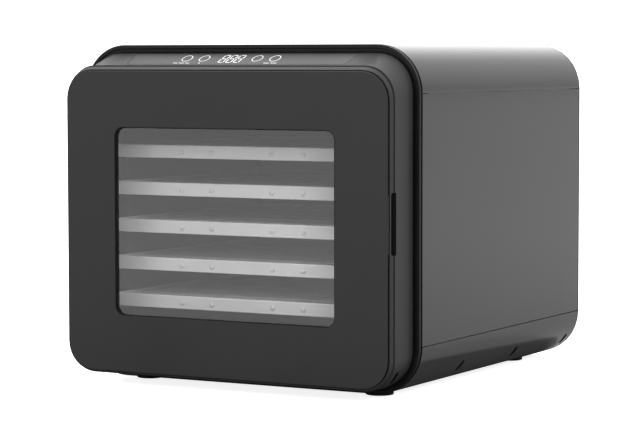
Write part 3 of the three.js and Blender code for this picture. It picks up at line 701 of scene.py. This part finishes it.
# ---- light (metres) ----------------------------------------------------------------------------------
def studio():
    """A bright studio: brighter overhead and on the left, and plain white where the camera sees it."""
    world = bpy.data.worlds.new("studio")
    bpy.context.scene.world = world
    world.use_nodes = True
    sky = world.node_tree
    background = sky.nodes["Background"]
    background.inputs["Color"].default_value = (1, 1, 1, 1)
    way = axes(sky, "Generated")
    level = map_range(sky, way["Z"], 0.05, 0.85, 1.0, 2.15)
    left = map_range(sky, way["X"], -0.45, 0.15, 1.55, 0.8, smooth=True)
    far_left = map_range(sky, way["X"], -0.75, -0.5, 0.45, 1.0, smooth=True)
    total = math_node(sky, "MULTIPLY", level, math_node(sky, "MULTIPLY", left, far_left))
    seen = sky.nodes.new("ShaderNodeLightPath").outputs["Is Camera Ray"]
    sky.links.new(math_node(sky, "MAXIMUM", total, seen), background.inputs["Strength"])


studio()

LAMP_PLACE, LAMP_TARGET, LAMP_SIZE, LAMP_POWER = (2.4, -2.4, 1.6), (0, 0, 0.15), 1.4, 60
lamp_data = bpy.data.lights.new("soft_front_right", "AREA")
lamp_data.shape, lamp_data.size, lamp_data.energy = "DISK", LAMP_SIZE, LAMP_POWER
lamp = bpy.data.objects.new("soft_front_right", lamp_data)
lamp.visible_glossy = False
bpy.context.scene.collection.objects.link(lamp)
lamp.location = LAMP_PLACE
lamp.rotation_mode = "QUATERNION"
lamp.rotation_quaternion = (Vector(LAMP_TARGET) - Vector(LAMP_PLACE)).to_track_quat("-Z", "Y")

# ---- floor (metres) ----------------------------------------------------------------------------------
FLOOR_HALF = 60
FLOOR_WHITE, FLOOR_LIFT = 0.90, 0.85  # what the camera sees: diffuse colour and a glow
PAINTED_SHADOW_X, PAINTED_SHADOW_Y, PAINTED_SHADOW_LEAN = 0.175, 0.192, 0.11  # half sizes of the painted shadow under the object, and its lean
SHADOW_FADE_REACH = 1.5
# (share of the reach beyond the painted shadow, grey level) in reflections and bounced light; the first levels
# are the painted shadow itself
SHADOW_FADE_LEVELS = ((0.0, 0.13), (0.0116, 0.13), (0.0126, 0.40), (0.12, 0.39), (0.5, 0.46), (1.0, 0.51))


def floor_material():
    """White to the camera. In reflections and bounced light it is grey, with a painted shadow under the object.
    """
    m = bpy.data.materials.new("floor_white_with_painted_shadow")
    m.use_nodes = True
    t = m.node_tree
    t.nodes.remove(t.nodes["Principled BSDF"])
    pale = t.nodes.new("ShaderNodeBsdfDiffuse")
    pale.inputs["Color"].default_value = (FLOOR_WHITE, FLOOR_WHITE, FLOOR_WHITE, 1)
    glow = t.nodes.new("ShaderNodeEmission")
    glow.inputs["Strength"].default_value = FLOOR_LIFT
    seen = t.nodes.new("ShaderNodeAddShader")
    t.links.new(pale.outputs["BSDF"], seen.inputs[0])
    t.links.new(glow.outputs["Emission"], seen.inputs[1])
    place = axes(t, "Object")
    leaning = math_node(t, "ADD", math_node(t, "ABSOLUTE", place["X"]),
                        math_node(t, "MULTIPLY", place["Y"], PAINTED_SHADOW_LEAN))
    away = math_node(t, "MAXIMUM", math_node(t, "SUBTRACT", leaning, PAINTED_SHADOW_X),
                     math_node(t, "SUBTRACT", math_node(t, "ABSOLUTE", place["Y"]), PAINTED_SHADOW_Y))
    shadow_ramp = t.nodes.new("ShaderNodeValToRGB")
    while len(shadow_ramp.color_ramp.elements) < len(SHADOW_FADE_LEVELS):
        shadow_ramp.color_ramp.elements.new(0.5)
    for element, (share, level) in zip(shadow_ramp.color_ramp.elements, SHADOW_FADE_LEVELS):
        element.position = share
        element.color = (level, level, level, 1)
    t.links.new(math_node(t, "MULTIPLY", away, 1 / SHADOW_FADE_REACH), shadow_ramp.inputs["Fac"])
    # What reflections and bounced light meet: grey floor with the painted shadow under the object.
    painted_shadow_floor = t.nodes.new("ShaderNodeBsdfDiffuse")
    t.links.new(shadow_ramp.outputs["Color"], painted_shadow_floor.inputs["Color"])
    pick = t.nodes.new("ShaderNodeMixShader")
    t.links.new(t.nodes.new("ShaderNodeLightPath").outputs["Is Camera Ray"], pick.inputs["Fac"])
    t.links.new(painted_shadow_floor.outputs["BSDF"], pick.inputs[1])
    t.links.new(seen.outputs["Shader"], pick.inputs[2])
    t.links.new(pick.outputs["Shader"], t.nodes["Material Output"].inputs["Surface"])
    return m


bm = bmesh.new()
square = ((-1, -1), (1, -1), (1, 1), (-1, 1))
bm.faces.new([bm.verts.new((x * FLOOR_HALF, y * FLOOR_HALF, 0)) for x, y in square])
floor = new_object("floor", bm, False)
floor.data.materials.append(floor_material())

bpy.context.scene.view_settings.view_transform = "Standard"
